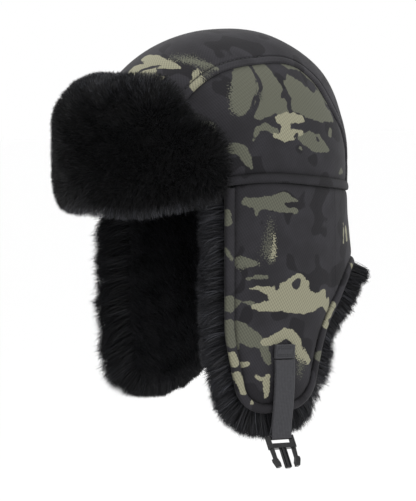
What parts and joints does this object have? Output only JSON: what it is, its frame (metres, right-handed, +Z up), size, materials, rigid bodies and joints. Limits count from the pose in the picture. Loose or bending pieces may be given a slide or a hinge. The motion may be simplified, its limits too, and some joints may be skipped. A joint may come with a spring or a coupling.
{
  "type": "trapper hat",
  "caption": "Padded winter hat with a round camouflage crown, turned-up fur front flap, fur-lined ear and nape flaps and a buckled chin strap.",
  "frame": {"origin": "centre of the head opening, 5 mm below the crown seam at the ears", "axes": "+Z up, -Y towards the front of the hat, +X towards the wearer's left"},
  "size_m": [0.2156, 0.2588, 0.3405],
  "materials": {
    "camouflage_shell": null,
    "camouflage_binding": "the same cloth folded over the edges",
    "black_fur": "dense black faux fur",
    "quilted_lining": "black quilted taffeta",
    "wadding": "polyester wadding",
    "webbing": "dark grey woven webbing",
    "buckle_plastic": "black moulded acetal"
  },
  "bodies": {
    "crown": {"crown_center_panel": "camouflage_shell", "crown_side_panel_left": "camouflage_shell", "crown_side_panel_right": "camouflage_shell", "crown_wadding": "wadding", "crown_lining": "quilted_lining", "crown_welt": "camouflage_binding"},
    "front_flap": {"front_flap_shell": "camouflage_shell", "front_flap_stiffener": "wadding", "front_flap_fur": "black_fur"},
    "ear_flap_left": {"ear_flap_shell_left": "camouflage_shell", "ear_flap_padding_left": "wadding", "ear_flap_binding_left": "camouflage_binding", "ear_flap_fur_left": "black_fur", "strap_sewn_end_left": "webbing"},
    "rear_corner_left": {"rear_corner_shell_left": "camouflage_shell", "rear_corner_padding_left": "wadding", "rear_corner_binding_left": "camouflage_binding", "rear_corner_fur_left": "black_fur"},
    "strap_left": {"chin_strap_left": "webbing"},
    "ear_flap_right": {"ear_flap_shell_right": "camouflage_shell", "ear_flap_padding_right": "wadding", "ear_flap_binding_right": "camouflage_binding", "ear_flap_fur_right": "black_fur", "strap_sewn_end_right": "webbing"},
    "rear_corner_right": {"rear_corner_shell_right": "camouflage_shell", "rear_corner_padding_right": "wadding", "rear_corner_binding_right": "camouflage_binding", "rear_corner_fur_right": "black_fur"},
    "strap_right": {"chin_strap_right": "webbing"},
    "nape": {"nape_shell": "camouflage_shell", "nape_padding": "wadding", "nape_binding": "camouflage_binding", "nape_fur": "black_fur"},
    "male_buckle": {"male_buckle": "buckle_plastic"},
    "latch_front": {"latch_arm_front": "buckle_plastic"},
    "latch_rear": {"latch_arm_rear": "buckle_plastic"},
    "female_buckle": {"female_buckle": "buckle_plastic"}
  },
  "joints": [
    {"name": "front_flap_fold", "type": "hinge", "parent": "crown", "child": "front_flap", "pos_m": [0, -0.1146, 0.0115], "axis": [1, 0, 0], "range_deg": [0, 35]},
    {"name": "ear_flap_left_fold", "type": "hinge", "parent": "crown", "child": "ear_flap_left", "pos_m": [0.0916, 0, 0.005], "axis": [0, -0.995, 0.0995], "range_deg": [0, 160]},
    {"name": "ear_flap_right_fold", "type": "hinge", "parent": "crown", "child": "ear_flap_right", "pos_m": [-0.0916, 0, 0.005], "axis": [0, 0.995, -0.0995], "range_deg": [0, 160]},
    {"name": "rear_corner_left_fold", "type": "hinge", "parent": "crown", "child": "rear_corner_left", "pos_m": [0.06226, 0.08334, -0.00333], "axis": [0.6547, -0.7521, 0.0752], "range_deg": [0, 160]},
    {"name": "rear_corner_right_fold", "type": "hinge", "parent": "crown", "child": "rear_corner_right", "pos_m": [-0.06226, 0.08334, -0.00333], "axis": [0.6547, 0.7521, -0.0752], "range_deg": [0, 160]},
    {"name": "nape_fold", "type": "hinge", "parent": "crown", "child": "nape", "pos_m": [0, 0.1136, -0.00636], "axis": [1, 0, 0], "range_deg": [0, 160]},
    {"name": "strap_left_swing", "type": "hinge", "parent": "ear_flap_left", "child": "strap_left", "pos_m": [0.0959, -0.00157, -0.13197], "axis": [0, -0.9976, 0.0698], "range_deg": [0, 95]},
    {"name": "strap_right_swing", "type": "hinge", "parent": "ear_flap_right", "child": "strap_right", "pos_m": [-0.0959, -0.00157, -0.13197], "axis": [0, 0.9976, -0.0698], "range_deg": [0, 95]},
    {"name": "male_buckle_pivot", "type": "hinge", "parent": "strap_left", "child": "male_buckle", "pos_m": [0.093, -0.00596, -0.19482], "axis": [0, -0.9976, 0.0698], "range_deg": [-75, 45]},
    {"name": "female_buckle_pivot", "type": "hinge", "parent": "strap_right", "child": "female_buckle", "pos_m": [-0.0959, -0.00345, -0.15891], "axis": [0, 0.9976, -0.0698], "range_deg": [0, 75]},
    {"name": "latch_front_press", "type": "hinge", "parent": "male_buckle", "child": "latch_front", "pos_m": [0.09816, -0.01695, -0.20144], "axis": [0.8192, 0.04, 0.5722], "range_deg": [0, 8], "stiffness_Nm_per_rad": 0.05},
    {"name": "latch_rear_press", "type": "hinge", "parent": "male_buckle", "child": "latch_rear", "pos_m": [0.09816, 0.004, -0.20291], "axis": [-0.8192, -0.04, -0.5722], "range_deg": [0, 8], "stiffness_Nm_per_rad": 0.05}
  ],
  "couplings": [
    {"joint": "rear_corner_left_fold", "follows": "ear_flap_left_fold", "ratio": 1},
    {"joint": "rear_corner_right_fold", "follows": "ear_flap_right_fold", "ratio": 1},
    {"joint": "latch_rear_press", "follows": "latch_front_press", "ratio": 1}
  ]
}
